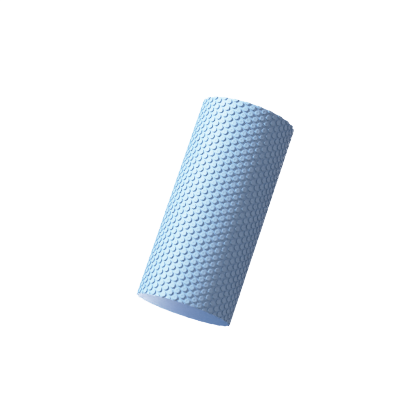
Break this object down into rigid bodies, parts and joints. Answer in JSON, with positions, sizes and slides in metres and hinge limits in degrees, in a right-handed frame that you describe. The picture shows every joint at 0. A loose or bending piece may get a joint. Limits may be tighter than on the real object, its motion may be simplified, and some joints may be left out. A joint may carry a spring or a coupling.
{
  "type": "foam roller",
  "caption": "Solid foam roller for self-massage and exercise: a round foam bar wrapped in a foam sheet covered all over with low round studs.",
  "frame": {"origin": "centre of the bottom end face", "axes": "+Z along the roller's axis, towards its top end; the glued seam of the sheet is on the +Y side"},
  "size_m": [0.14, 0.1399, 0.3],
  "materials": {
    "core_foam": "matt sawn closed-cell foam",
    "skin_foam": "matt moulded closed-cell foam",
    "glue": "dried contact adhesive"
  },
  "bodies": {
    "root": {"core": "core_foam", "skin": "skin_foam", "skin_glue": "glue", "seam_glue": "glue"}
  },
  "joints": []
}
